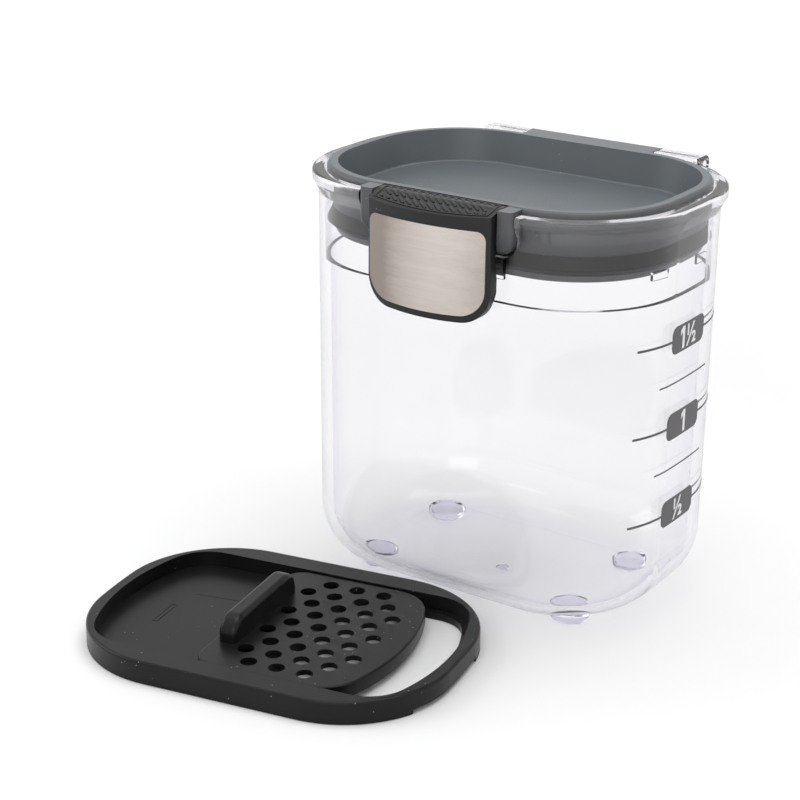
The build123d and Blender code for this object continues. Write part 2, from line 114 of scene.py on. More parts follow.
# %% [markdown]
# ## Writing materials as sums
# A material is a small calculation over the surface. This class wraps a socket so that the
# usual signs add the Math nodes, and `node` adds any other node with its settings first.

# %% A socket that does sums
class Signal:
    """A socket of a material's tree, with signs that add Math nodes behind it."""

    def __init__(self, tree, socket):
        self.tree = tree
        self.socket = socket

    def _math(self, operation, *inputs):
        made = self.tree.nodes.new("ShaderNodeMath")
        made.operation = operation
        for place, value in enumerate(inputs):
            wire(self.tree, made.inputs[place], value)
        return Signal(self.tree, made.outputs[0])

    def __add__(self, other):
        return self._math("ADD", self, other)

    def __radd__(self, other):
        return self._math("ADD", other, self)

    def __sub__(self, other):
        return self._math("SUBTRACT", self, other)

    def __rsub__(self, other):
        return self._math("SUBTRACT", other, self)

    def __mul__(self, other):
        return self._math("MULTIPLY", self, other)

    def __rmul__(self, other):
        return self._math("MULTIPLY", other, self)

    def __truediv__(self, other):
        return self._math("DIVIDE", self, other)

    def __rtruediv__(self, other):
        return self._math("DIVIDE", other, self)

    def over(self, limit):
        return self._math("GREATER_THAN", self, limit)

    def under(self, limit):
        return self._math("LESS_THAN", self, limit)

    def or_higher(self, other):
        return self._math("MAXIMUM", self, other)


def wire(tree, socket, value):
    """Connect a signal to a socket, or set a plain number or colour on it."""
    if isinstance(value, Signal):
        tree.links.new(value.socket, socket)
    else:
        socket.default_value = value


class Finish:
    """One material: its shader and the nodes that feed it."""

    def __init__(self, name, **constants):
        self.material = bpy.data.materials.new(name)
        self.material.use_nodes = True
        self.tree = self.material.node_tree
        self.shader = self.tree.nodes["Principled BSDF"]
        for socket, value in constants.items():
            self.shader.inputs[socket.replace("_", " ")].default_value = value

    def node(self, kind, settings=None, output=0, second=None, **inputs):
        """Add a node: settings first, then inputs by name, and the second of a twin pair."""
        made = self.tree.nodes.new(kind)
        for name, value in (settings or {}).items():
            setattr(made, name, value)
        if second is not None:
            wire(self.tree, made.inputs[1], second)
        for name, value in inputs.items():
            wire(self.tree, made.inputs[name.replace("_", " ")], value)
        return Signal(self.tree, made.outputs[output])

    def place(self, scale=(1, 1, 1)):
        """Object coordinates in metres, stretched."""
        coords = self.node("ShaderNodeTexCoord", output=3)
        return self.node("ShaderNodeMapping", Vector=coords, Scale=scale)

    def height(self):
        """Height above the table, in metres."""
        return self.node("ShaderNodeSeparateXYZ", output=2, Vector=self.place())

    def noise(self, scale, detail=2, where=None):
        """Soft noise over the surface."""
        where = where or self.place()
        return self.node("ShaderNodeTexNoise", Vector=where, Scale=scale, Detail=detail)

    def mix(self, factor, low, high):
        """Blend two colours by a factor."""
        made = self.tree.nodes.new("ShaderNodeMix")
        made.data_type = "RGBA"
        wire(self.tree, made.inputs[0], factor)
        wire(self.tree, made.inputs[6], low)
        wire(self.tree, made.inputs[7], high)
        return Signal(self.tree, made.outputs[2])

    def feed(self, **signals):
        """Wire signals, numbers or colours to the shader's inputs."""
        for socket, value in signals.items():
            wire(self.tree, self.shader.inputs[socket.replace("_", " ")], value)

    def bump(self, height, strength, distance):
        """Let a signal stand for fine relief, with the distance in metres."""
        made = self.node("ShaderNodeBump", Strength=strength, Distance=distance, Height=height)
        wire(self.tree, self.shader.inputs["Normal"], made)


def dress(finish, *names):
    """Give CAD nodes a material in place of their plain one."""
    for name in names:
        slots = nodes[name].data.materials
        slots.clear()
        slots.append(finish.material)
        print("dressed", name, "in", finish.material.name)


# %% [markdown]
# ## Clear jar plastic
# The jar is a hard, clear plastic with a faint violet cast that shows only where one looks
# through a lot of it: at rims, corners and feet. So the colour deepens under the feet and where
# the surface turns away from the eye. At those slanting edges the deeper colour is partly that
# violet and partly painted shade, a grey-violet standing in for dark surroundings seen in the
# wall. Transmission bends the view at the edges, with an index a little lower than the real
# one, because the real one gives the empty jar harder bands of reflection than the photograph
# shows. Light passes to the floor through a mix with a transparent shader on shadow rays, since
# a path tracer would otherwise leave a black shadow.

# %% Clear plastic
FOOT_TOP = 2.1 * MM
WALL_CLEAR = (0.958, 0.957, 0.966, 1)
FOOT_VIOLET = (0.70, 0.68, 0.79, 1)
EDGE_VIOLET_AND_PAINTED_SHADE = (0.50, 0.48, 0.62, 1)
SHADOW_CLEAR = (0.985, 0.985, 0.99, 1)
SOFTENED_IOR = 1.35
POLISH = 0.015
HAZE_FINENESS, HAZE_DEPTH = 90, 0.02

clear = Finish("clear_plastic", IOR=SOFTENED_IOR, Transmission_Weight=1.0)
haze = clear.noise(HAZE_FINENESS, detail=3)
clear.feed(Roughness=POLISH + haze * HAZE_DEPTH)
facing = clear.node("ShaderNodeLayerWeight", output=1, Blend=0.5)
# Edge colour: the plastic's violet depth plus painted shade at slanting views.
edge_depth_and_painted_shade = facing * facing * facing
wall_tint = clear.mix(clear.height().under(FOOT_TOP), WALL_CLEAR, FOOT_VIOLET)
clear.feed(Base_Color=clear.mix(edge_depth_and_painted_shade, wall_tint, EDGE_VIOLET_AND_PAINTED_SHADE))

through = clear.node("ShaderNodeBsdfTransparent", Color=SHADOW_CLEAR)
shadow_ray = clear.node("ShaderNodeLightPath", output=1)
mixed = clear.tree.nodes.new("ShaderNodeMixShader")
wire(clear.tree, mixed.inputs[0], shadow_ray)
wire(clear.tree, mixed.inputs[1], Signal(clear.tree, clear.shader.outputs[0]))
wire(clear.tree, mixed.inputs[2], through)
surface = clear.tree.nodes["Material Output"].inputs["Surface"]
clear.tree.links.new(mixed.outputs[0], surface)
dress(clear, "jar_body")

# %% [markdown]
# ## Lint
# Satin plastic holds on to lint, so a few pale specks lie scattered over it. A Voronoi pattern
# has one point in each cell, and the specks are what lies close to a point. A broad noise
# thins them out into patches.

# %% Lint
SPECK_CELL = 1.8 * MM
SPECK_RADIUS = 0.13 * MM
LINT = (0.42, 0.43, 0.45, 1)
LINT_STRENGTH = 0.7
PATCH_FINENESS, PATCH_LEVEL = 38, 0.52
PATCH_STRETCH = (1, 1.3, 1)


def speckled(finish, colour):
    """A colour with pale specks of lint scattered over it."""
    cells = finish.node("ShaderNodeTexVoronoi", Vector=finish.place(), Scale=1 / SPECK_CELL)
    speck = cells.under(SPECK_RADIUS / SPECK_CELL)
    broad = finish.noise(PATCH_FINENESS, detail=2, where=finish.place(scale=PATCH_STRETCH))
    patches = broad.over(PATCH_LEVEL)
    return finish.mix(speck * patches * LINT_STRENGTH, colour, LINT)


# %% [markdown]
# ## Grey lid, silicone and black plastics
# Moulded satin plastic has a very fine grain from the steel mould. Two scales of noise are
# enough: a fine one for the grain in the bump, and a broad one that lets the shade and the
# sheen wander.

# %% Moulded plastics
PLASTIC_IOR = 1.5
GRAIN_STRENGTH = 0.15
GRAIN_GLOSS, WANDER_GLOSS = 0.08, 0.06
WANDER_FINENESS = 60
PALER_TIMES, PALER_PLUS = 1.12, 0.003
TRAY_GREY = (0.105, 0.118, 0.128)
KEEPER_GREY = (0.085, 0.086, 0.09)
SILICONE_DARK = (0.007, 0.0072, 0.0078)
LATCH_BLACK = (0.008, 0.008, 0.0085)
INSERT_BLACK = (0.0055, 0.0055, 0.006)


def moulded(name, colour, roughness, grain, fineness, sheen=0.5, paint=None):
    """Satin plastic: a colour that wanders a little, and a fine grain in the sheen."""
    made = Finish(name, IOR=PLASTIC_IOR, Specular_IOR_Level=sheen)
    fine = made.noise(fineness, detail=2)
    broad = made.noise(WANDER_FINENESS, detail=3)
    paler = [min(1.0, c * PALER_TIMES + PALER_PLUS) for c in colour]
    wandering = made.mix(broad, (*colour, 1), (*paler, 1))
    painted = paint(made, wandering) if paint else wandering
    made.feed(Base_Color=speckled(made, painted))
    gloss = (fine - 0.5) * GRAIN_GLOSS + (broad - 0.5) * WANDER_GLOSS
    made.feed(Roughness=roughness + gloss)
    made.bump(fine, GRAIN_STRENGTH, grain)
    print("moulded", name)
    return made


# %% [markdown]
# ## The shaded skirt
# Inside the jar the lid's skirt gets less light than the tray, and less still towards its lower
# edge. This shade is painted: the skirt takes a darker grey than the tray, darker again
# downward.
# The side that faces out is told from the tray by the surface's own direction against its way
# from the centre: their product is positive on the skirt and negative inside the tray.

# %% Shaded skirt
PAINTED_SKIRT_SHADE_UPPER = (0.082, 0.084, 0.090, 1)
PAINTED_SKIRT_SHADE_LOWER = (0.026, 0.027, 0.029, 1)
SHADE_FROM = TOP - 5 * MM
SHADE_TO = TOP - 10.5 * MM
OUTWARD_FULL = 12 * MM


def painted_skirt_shade(finish, tray_colour):
    """The tray's colour, with painted shade where the surface faces out, darker downward."""
    normal = finish.node("ShaderNodeTexCoord", output=1)
    flat_place = finish.place(scale=(1, 1, 0))
    from_middle = finish.node(
        "ShaderNodeVectorMath",
        {"operation": "SUBTRACT"},
        Vector=flat_place,
        second=(JAR_X, JAR_Y, 0),
    )
    outward = finish.node(
        "ShaderNodeVectorMath", {"operation": "DOT_PRODUCT"}, 1, normal, Vector=from_middle
    )
    skirt = finish.node("ShaderNodeMapRange", Value=outward, From_Max=OUTWARD_FULL)
    lower = finish.node(
        "ShaderNodeMapRange", Value=finish.height(), From_Min=SHADE_FROM, From_Max=SHADE_TO
    )
    # Painted shade: a darker grey on the skirt, deepening towards its lower edge.
    painted_skirt_grey = finish.mix(lower, PAINTED_SKIRT_SHADE_UPPER, PAINTED_SKIRT_SHADE_LOWER)
    return finish.mix(skirt, tray_colour, painted_skirt_grey)


# %% [markdown]
# ## The five moulded finishes
# Each moulded piece gets its own grey or black. The lid, its keeper ring and the latch are
# satin, the silicone is duller, and the insert is a little glossier than the rest. What differs
# is given by name in one call each, so that two finishes can be compared line by line.

# %% Dress the plastics
lid_grey = moulded(
    "lid_grey_satin",
    TRAY_GREY,
    roughness=0.38,
    grain=0.04 * MM,
    fineness=2600,
    sheen=0.4,
    paint=painted_skirt_shade,
)
keeper_grey = moulded(
    "keeper_grey_satin",
    KEEPER_GREY,
    roughness=0.4,
    grain=0.04 * MM,
    fineness=2600,
    sheen=0.4,
)
silicone = moulded(
    "gasket_silicone",
    SILICONE_DARK,
    roughness=0.5,
    grain=0.03 * MM,
    fineness=1800,
    sheen=0.2,
)
latch_black = moulded(
    "latch_black_satin",
    LATCH_BLACK,
    roughness=0.36,
    grain=0.03 * MM,
    fineness=2600,
    sheen=0.3,
)
insert_black = moulded(
    "insert_black_satin",
    INSERT_BLACK,
    roughness=0.32,
    grain=0.04 * MM,
    fineness=2200,
    sheen=0.2,
)
dress(lid_grey, "lid_tray")
dress(keeper_grey, "lid_keeper_ring")
dress(silicone, "lid_gasket")
dress(latch_black, "latch_body")
dress(insert_black, "sifter_frame", "sifter_slider")

# %% [markdown]
# ## Brushed steel
# Brushing leaves fine scratches in one direction. Noise that is stretched fiftyfold along X,
# read twice at different finenesses, gives the streaks. They shift both the colour and the
# roughness a little, and a shallow bump breaks the reflection into a soft sheen. The plate is
# bowed, so its ends turn away from the light. That is painted reflection in the colour: it
# falls off towards the ends from a painted highlight a little right of the middle.

# %% Brushed steel
STEEL_DARK = (0.27, 0.235, 0.208, 1)
STEEL_PALE = (0.62, 0.575, 0.53, 1)
PAINTED_HIGHLIGHT_AT = 0.66
PAINTED_REFLECTION_FALL = 3.2
TONE_LIFT = 0.3
BRUSHED = (0.02, 1, 1)
FINE_STREAK, LONG_STREAK, STAIN = 3800, 700, 55
FINE_SHARE, LONG_SHARE, STAIN_SHARE = 0.3, 0.3, 0.4
STEEL_GLOSS, STREAK_GLOSS = 0.3, 0.14
SCRATCH_STRENGTH, SCRATCH_DEEP = 0.25, 0.04 * MM

steel = Finish("brushed_plate_steel", Metallic=1.0)
streak_place = steel.place(scale=BRUSHED)
streaks = steel.noise(FINE_STREAK, detail=3, where=streak_place)
long_streaks = steel.noise(LONG_STREAK, detail=2, where=streak_place)
broad_stain = steel.noise(STAIN, detail=2)
plate_low, plate_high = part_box("latch_steel_plate")
plate_long = plate_high.x - plate_low.x
along = steel.node("ShaderNodeSeparateXYZ", Vector=steel.place())
# Painted reflection: the colour is palest a little right of the middle and falls off towards
# the ends.
bow = (along - (plate_low.x + PAINTED_HIGHLIGHT_AT * plate_long)) / plate_long
mottle = streaks * FINE_SHARE + long_streaks * LONG_SHARE + broad_stain * STAIN_SHARE
streaks_and_painted_reflection = mottle + TONE_LIFT - bow * bow * PAINTED_REFLECTION_FALL
steel.feed(Base_Color=steel.mix(streaks_and_painted_reflection, STEEL_DARK, STEEL_PALE))
steel.feed(Roughness=STEEL_GLOSS + streaks * STREAK_GLOSS)
steel.bump(streaks, SCRATCH_STRENGTH, SCRATCH_DEEP)
dress(steel, "latch_steel_plate")

# %% [markdown]
# ## Steel of the pins
# Both pins are drawn wire, so their marks run lengthwise, which is along X. Little of them is
# seen, so one stretched noise that shifts the shade and the roughness is enough, with no bump.

# %% Pin steel
PIN_DARK = (0.5, 0.5, 0.51, 1)
PIN_PALE = (0.62, 0.62, 0.63, 1)
DRAWN = (0.1, 1, 1)
DRAWN_FINENESS = 1500
PIN_GLOSS, DRAWN_GLOSS = 0.28, 0.1

pin = Finish("pin_steel", Metallic=1.0)
pin_marks = pin.noise(DRAWN_FINENESS, detail=2, where=pin.place(scale=DRAWN))
pin.feed(Base_Color=pin.mix(pin_marks, PIN_DARK, PIN_PALE))
pin.feed(Roughness=PIN_GLOSS + pin_marks * DRAWN_GLOSS)
dress(pin, "lid_hinge_pin", "latch_pin")

# %% [markdown]
# ## Printed ink
# The measuring marks are screen printed: a thin, slightly glossy film of grey ink, with white
# numbers over it. Real ink is never quite even, so a soft noise moves its shade and sheen.

# %% Inks
MARK_GREY = (0.066, 0.062, 0.070)
NUMBER_WHITE = (0.80, 0.80, 0.81)

ink_grey = moulded("ink_grey", MARK_GREY, roughness=0.42, grain=0.01 * MM, fineness=3000)
ink_white = moulded("ink_white", NUMBER_WHITE, roughness=0.42, grain=0.01 * MM, fineness=3000)

# %% [markdown]
# ## Modelling tools
# Every added piece is made the way it would be made by hand: a primitive at its size and
# place, a few edits on faces or edges picked by where they are, then modifiers. These small
# functions keep the steps short. `settle` leaves the piece's object at the origin, with its
# place in the mesh, and says which body carries it.

# %% Modelling tools
SELECT_MODES = {"faces": "FACE", "edges": "EDGE", "verts": "VERT"}
SMOOTH_ANGLE = math.radians(35)
SAME_PLACE = 0.001 * MM


def deselect():
    bpy.ops.object.select_all(action="DESELECT")


def pick_only(piece):
    """Select one piece alone and make it the active one."""
    deselect()
    piece.select_set(True)
    bpy.context.view_layer.objects.active = piece


def edit(action, pick=None, kind="faces"):
    """Run an edit-mode action on everything, or on the parts that a test picks."""
    bpy.ops.object.mode_set(mode="EDIT")
    bpy.ops.mesh.select_mode(type=SELECT_MODES[kind])
    bpy.ops.mesh.select_all(action="SELECT" if pick is None else "DESELECT")
    if pick is not None:
        mesh = bmesh.from_edit_mesh(bpy.context.object.data)
        for part in getattr(mesh, kind):
            part.select_set(bool(pick(part)))
        bmesh.update_edit_mesh(bpy.context.object.data)
    action()
    bpy.ops.object.mode_set(mode="OBJECT")


def apply_place(piece):
    """Put the piece's place, turn and size into its mesh."""
    pick_only(piece)
    bpy.ops.object.transform_apply(location=True, rotation=True, scale=True)


def apply_scale(piece):
    """Put only the piece's size into its mesh."""
    pick_only(piece)
    bpy.ops.object.transform_apply(location=False, rotation=False, scale=True)


def cut(point, normal, keep_behind=False):
    """Cut the whole mesh by a plane, and with keep_behind drop what lies in front of it."""
    bpy.ops.mesh.select_all(action="SELECT")
    bpy.ops.mesh.bisect(plane_co=point, plane_no=normal, clear_outer=keep_behind)


def slice_along(axis, start, end, step):
    """Cut the mesh into strips across an axis, so that it can bend."""
    normal = [1 if axis == i else 0 for i in range(3)]
    count = int((end - start) / step)
    for i in range(1, count):
        point = [0, 0, 0]
        point[axis] = start + (end - start) * i / count
        cut(point, normal)


def modify(piece, kind, **settings):
    """Add a modifier, set it and apply it."""
    made = piece.modifiers.new(kind.lower(), kind)
    for name, value in settings.items():
        setattr(made, name, value)
    bpy.context.view_layer.objects.active = piece
    bpy.ops.object.modifier_apply(modifier=made.name)


def lay_on(piece, node, axis, gap, film):
    """Drop a flat piece along an axis onto a node, a gap above it, and give it a thickness."""
    apply_place(piece)
    modify(
        piece,
        "SHRINKWRAP",
        target=nodes[node],
        wrap_method="PROJECT",
        wrap_mode="ABOVE_SURFACE",
        use_project_x=axis == "x",
        use_project_z=axis == "z",
        use_positive_direction=False,
        use_negative_direction=True,
        offset=gap,
    )
    modify(piece, "SOLIDIFY", thickness=film, offset=1.0)


def join(pieces, name):
    """Join pieces into one mesh under one name."""
    deselect()
    for piece in pieces:
        piece.select_set(True)
    bpy.context.view_layer.objects.active = pieces[0]
    bpy.ops.object.join()
    pieces[0].name = name
    return pieces[0]


def settle(piece, body, finish):
    """Place in the mesh, faces outward, smooth where it is round, material and body."""
    apply_place(piece)
    edit(lambda: bpy.ops.mesh.remove_doubles(threshold=SAME_PLACE))
    edit(lambda: bpy.ops.mesh.normals_make_consistent(inside=False))
    bpy.ops.object.shade_smooth_by_angle(angle=SMOOTH_ANGLE)
    piece.data.materials.clear()
    piece.data.materials.append(finish.material)
    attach(piece, body)
    print("made", piece.name, len(piece.data.polygons), "faces, rides", body)


# %% [markdown]
# ## Measuring marks
# Three labels and five lines are printed on the outside of the right end wall: one label for
# each half measure, and a short line for each quarter. A flat strip is cut across every
# millimetre or so and dropped sideways onto the wall, so it takes the wall's curve, then given
# a film's thickness. Places along the wall are measured from the jar's middle, front to back.

# %% Grey print
OUTSIDE = JAR_X + 56 * MM
FACING_RIGHT = (0, math.pi / 2, 0)
FILM_GAP = 0.04 * MM
FILM = 0.04 * MM
BEND_STEP = 0.9 * MM
HALF_MEASURES = [TOP - drop * MM for drop in (33.1, 54.9, 77.5)]
QUARTER_MEASURES = [TOP - drop * MM for drop in (43.8, 65.8)]
LABEL_FROM, LABEL_TO = -8.6 * MM, 7.4 * MM
LABEL_HIGH, LABEL_CORNER = 6.9 * MM, 1.9 * MM
LINE_FROM, LINE_TO = -19.8 * MM, 26 * MM
LINE_HIGH, LINE_CORNER = 0.6 * MM, 0.28 * MM
LINE_TUCK = 0.1 * MM
QUARTER_FROM, QUARTER_TO = -12.6 * MM, 10.4 * MM
QUARTER_HIGH, QUARTER_CORNER = 0.4 * MM, 0.18 * MM


def printed_patch(y_from, y_to, z, high, corner):
    """Flat upright patch facing the right, with rounded corners, in strips."""
    deselect()
    centre = (OUTSIDE, JAR_Y + (y_from + y_to) / 2, z)
    bpy.ops.mesh.primitive_plane_add(size=1, location=centre, rotation=FACING_RIGHT)
    edit(lambda: bpy.ops.transform.resize(value=(1, y_to - y_from, high)))
    round_corners = lambda: bpy.ops.mesh.bevel(affect="VERTICES", offset=corner, segments=4)
    edit(round_corners, kind="verts")
    edit(lambda: slice_along(1, JAR_Y + y_from, JAR_Y + y_to, BEND_STEP))
    return bpy.context.object


prints = []
for z in HALF_MEASURES:
    line_end = LABEL_FROM + LINE_TUCK
    line_start = LABEL_TO - LINE_TUCK
    prints.append(printed_patch(LINE_FROM, line_end, z, LINE_HIGH, LINE_CORNER))
    prints.append(printed_patch(line_start, LINE_TO, z, LINE_HIGH, LINE_CORNER))
    prints.append(printed_patch(LABEL_FROM, LABEL_TO, z, LABEL_HIGH, LABEL_CORNER))
for z in QUARTER_MEASURES:
    prints.append(printed_patch(QUARTER_FROM, QUARTER_TO, z, QUARTER_HIGH, QUARTER_CORNER))
marks = join(prints, "measuring_marks")
lay_on(marks, "jar_body", "x", gap=FILM_GAP, film=FILM)
settle(marks, "jar", ink_grey)

# %% [markdown]
# ## Numbers on the labels
# The numbers are plain white ink over the grey. The fraction is text turned to mesh, stretched
# to the narrow shape of the print. The figure one is only a bar with a flag, so it is drawn:
# the bar's upper left edge is pulled out and down. All are dropped on the wall in the same
# way, a little further out than the grey behind them.

# %% White numbers
NUMBER_HIGH = 5.5 * MM
HALF_WIDE = 4.8 * MM
HALF_TEXT = 7 * MM
HALF_WEIGHT = 0.13 * MM
ONE_WIDE = 1.05 * MM
FLAG_HIGH = 1.3 * MM
FLAG_PULL = (0, -0.95 * MM, -0.8 * MM)
NUMBER_GAP = FILM_GAP + 1.5 * FILM
LABEL_MIDDLE = (LABEL_FROM + LABEL_TO) / 2
ONE_BEFORE_HALF = LABEL_MIDDLE - 2.7 * MM
HALF_AFTER_ONE = LABEL_MIDDLE + 1.2 * MM
ONE_ALONE = LABEL_MIDDLE + 0.3 * MM


def printed_half(y, z):
    """Upright fraction facing the right: text turned to mesh, then sized and sliced."""
    deselect()
    place = (OUTSIDE, JAR_Y + y, z)
    upright = (math.pi / 2, 0, math.pi / 2)
    bpy.ops.object.text_add(location=place, rotation=upright)
    made = bpy.context.object
    made.data.body = "½"
    made.data.size = HALF_TEXT
    made.data.offset = HALF_WEIGHT
    bpy.ops.object.convert(target="MESH")
    apply_place(made)
    low = [min(v.co[i] for v in made.data.vertices) for i in range(3)]
    high = [max(v.co[i] for v in made.data.vertices) for i in range(3)]
    stretch = (1, HALF_WIDE / (high[1] - low[1]), NUMBER_HIGH / (high[2] - low[2]))
    shift = (0, place[1] - (low[1] + high[1]) / 2, place[2] - (low[2] + high[2]) / 2)
    left, right = place[1] - HALF_WIDE / 2, place[1] + HALF_WIDE / 2
    edit(lambda: bpy.ops.transform.translate(value=shift))
    edit(lambda: bpy.ops.transform.resize(value=stretch, center_override=place))
    edit(lambda: slice_along(1, left, right, BEND_STEP))
    return made


def printed_one(y, z):
    """Upright figure one facing the right: a bar, with a flag drawn out from its top left."""
    deselect()
    place = (OUTSIDE, JAR_Y + y, z)
    bpy.ops.mesh.primitive_plane_add(size=1, location=place, rotation=FACING_RIGHT)
    made = bpy.context.object
    edit(lambda: bpy.ops.transform.resize(value=(1, ONE_WIDE, NUMBER_HIGH)))
    apply_place(made)
    flag_low = z + NUMBER_HIGH / 2 - FLAG_HIGH
    edit(lambda: cut((0, 0, flag_low), (0, 0, 1)))
    pull = {"value": FLAG_PULL}
    draw_out = lambda: bpy.ops.mesh.extrude_region_move(TRANSFORM_OT_translate=pull)
    upper_left = lambda v: v.co.y < place[1] and v.co.z > flag_low - SAME_PLACE
    edit(draw_out, lambda e: all(upper_left(v) for v in e.verts), "edges")
    return made


upper, whole, lower_half = HALF_MEASURES
figures = [
    printed_one(ONE_BEFORE_HALF, upper),
    printed_half(HALF_AFTER_ONE, upper),
    printed_one(ONE_ALONE, whole),
    printed_half(LABEL_MIDDLE, lower_half),
]
numbers = join(figures, "measuring_numbers")
lay_on(numbers, "jar_body", "x", gap=NUMBER_GAP, film=FILM)
settle(numbers, "jar", ink_white)

# %% [markdown]
# ## Grip on the latch
# The thumb rests on top of the latch, where the mould has three rows of short slanted ribs.
# The top is level behind the pin and slopes down in front of it. One rib is modelled once: a
# bar with round ends and soft top edges. It is copied to each place, longer or shorter, with
# the front row ending short of the bowed front edge.

# %% The latch's own measures
TOP_FALL = 1.9 * MM
LATCH_BOW = 58 * MM
PANEL_MARGIN = 1.2 * MM
latch_low, latch_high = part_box("latch_body")
LATCH_TOP = latch_high.z
LATCH_PIN_Y = middle_of("latch_pin").y
SLOPE = TOP_FALL / (LATCH_PIN_Y - latch_low.y)
BOW_Y = latch_low.y + LATCH_BOW
PANEL_HALF = (latch_high.x - latch_low.x) / 2 - PANEL_MARGIN


def front_reach(x):
    """How far the latch's front edge is ahead of the pin at a distance from the middle."""
    return LATCH_PIN_Y - (BOW_Y - math.sqrt(LATCH_BOW**2 - x**2))


print("latch slope", round(SLOPE, 3), "half width of the grip in mm", round(PANEL_HALF / MM, 1))

# %% One rib
RIB_LEAN = math.radians(50)
RIB_WIDE = 0.75 * MM
RIB_SUNK = 0.2 * MM
RIB_ROUND = 0.2 * MM
RIB_SOFT = 0.1 * MM

deselect()
bpy.ops.mesh.primitive_cube_add(size=1, location=(0, 0, 0))
rib = bpy.context.object
edit(lambda: bpy.ops.transform.resize(value=(RIB_WIDE, MM, RIB_SUNK * 2)))
upright = lambda e: abs(e.verts[0].co.z - e.verts[1].co.z) > RIB_SUNK
edit(lambda: bpy.ops.mesh.bevel(offset=RIB_ROUND, segments=2), upright, "edges")
on_top = lambda e: all(v.co.z > 0.9 * RIB_SUNK for v in e.verts)
edit(lambda: bpy.ops.mesh.bevel(offset=RIB_SOFT, segments=2), on_top, "edges")
print("one rib", len(rib.data.polygons), "faces")

# %% Rows of ribs
PROUD_ON_SLOPE = 0.26 * MM
PROUD_ON_LEVEL = 0.1 * MM
RIB_PITCH = 2.0 * MM
RIBS_EACH_SIDE = 7
ROW_MARGIN = 0.5 * MM
FRONT_MARGIN = 1.5 * MM
ROWS = ((-1.7 * MM, -0.4 * MM), (0.5 * MM, 2.6 * MM), (3.2 * MM, 5.6 * MM))


def place_rib(x, reach_from, reach_to):
    """Copy the rib to one place on top of the latch, between two distances before the pin."""
    middle = (reach_from + reach_to) / 2
    sloping = middle > 0
    proud = PROUD_ON_SLOPE if sloping else PROUD_ON_LEVEL
    tilt = math.atan(SLOPE) if sloping else 0.0
    height = LATCH_TOP - max(middle, 0) * SLOPE + proud - RIB_SUNK
    long = (reach_to - reach_from) / math.cos(RIB_LEAN) / MM
    made = rib.copy()
    made.data = rib.data.copy()
    bpy.context.scene.collection.objects.link(made)
    moved = Matrix.Translation((JAR_X + x, LATCH_PIN_Y - middle, height))
    turned = Matrix.Rotation(tilt, 4, "X") @ Matrix.Rotation(RIB_LEAN, 4, "Z")
    made.matrix_world = moved @ turned @ Matrix.Diagonal((1, long, 1, 1))
    return made


ribs = []
for reach_from, reach_to in ROWS:
    middle = (reach_from + reach_to) / 2
    slide = (middle * math.tan(RIB_LEAN)) % RIB_PITCH
    for i in range(-RIBS_EACH_SIDE, RIBS_EACH_SIDE + 1):
        x = i * RIB_PITCH + slide - RIB_PITCH / 2
        end = min(reach_to, front_reach(x) - FRONT_MARGIN)
        half_wide = (end - reach_from) / 2 * math.tan(RIB_LEAN)
        if abs(x) + half_wide < PANEL_HALF - ROW_MARGIN:
            ribs.append(place_rib(x, reach_from, end))
bpy.data.objects.remove(rib)
grip = join(ribs, "latch_grip_ribs")
settle(grip, "latch", latch_black)

# %% [markdown]
# ## Border round the grip
# A thin raised line frames the ribs, and its front side follows the bow of the latch. A slice
# of a large disc has that bow already: it is cut at the back and both sides, inset, and its
# middle taken out. One more cut along the pin lets it bend where the top begins to slope.

# %% Latch border
BORDER_MARGIN = 0.8 * MM
BORDER_WIDE = 0.4 * MM
BORDER_PROUD = 0.15 * MM
BORDER_BACK = 1.95 * MM
DISC_SIDES = 360
ABOVE_LATCH = LATCH_TOP + 2 * MM

deselect()
bpy.ops.mesh.primitive_circle_add(
    vertices=DISC_SIDES,
    radius=LATCH_BOW - BORDER_MARGIN,
    fill_type="NGON",
    location=(JAR_X, BOW_Y, ABOVE_LATCH),
)
border = bpy.context.object
apply_place(border)
back_line = (JAR_X, LATCH_PIN_Y + BORDER_BACK, ABOVE_LATCH)
edit(lambda: cut(back_line, (0, 1, 0), keep_behind=True))
edit(lambda: cut((JAR_X + PANEL_HALF, 0, 0), (1, 0, 0), keep_behind=True))
edit(lambda: cut((JAR_X - PANEL_HALF, 0, 0), (-1, 0, 0), keep_behind=True))
edit(lambda: bpy.ops.mesh.inset(thickness=BORDER_WIDE, depth=0))
inner = lambda f: len(f.verts) > 4
edit(lambda: bpy.ops.mesh.delete(type="FACE"), inner)
edit(lambda: cut((0, LATCH_PIN_Y, 0), (0, 1, 0)))
lay_on(border, "latch_body", "z", gap=0.0, film=BORDER_PROUD)
border.name = "latch_grip_border"
settle(border, "latch", latch_black)

# %% [markdown]
# ## Mould marks
# Two faint marks stand on the floor of the insert: a narrow raised outline, and the hairline
# where two flows of plastic met. Under the jar's base is the small round stub of the gate,
# where the plastic went in. All are too slight for the engineering model, but they catch light.
# The slider passes over the first two, so they stay under its gap of a tenth of a millimetre.

# %% Outline on the insert
INSERT_FLOOR = 1.7 * MM
OUTLINE_AT = (-31.5 * MM, -2.2 * MM)
OUTLINE_SIZE = (1.4 * MM, 10 * MM, 1)
OUTLINE_LINE = 0.3 * MM
OUTLINE_SUNK = 0.05 * MM
OUTLINE_THICK = 0.13 * MM
MARK_EDGE = 0.03 * MM


def on_insert(x, y, height):
    """A place given on the insert itself, where x runs along its length."""
    return INSERT + Matrix.Rotation(INSERT_TURN, 3, "Z") @ Vector((x, y, height))


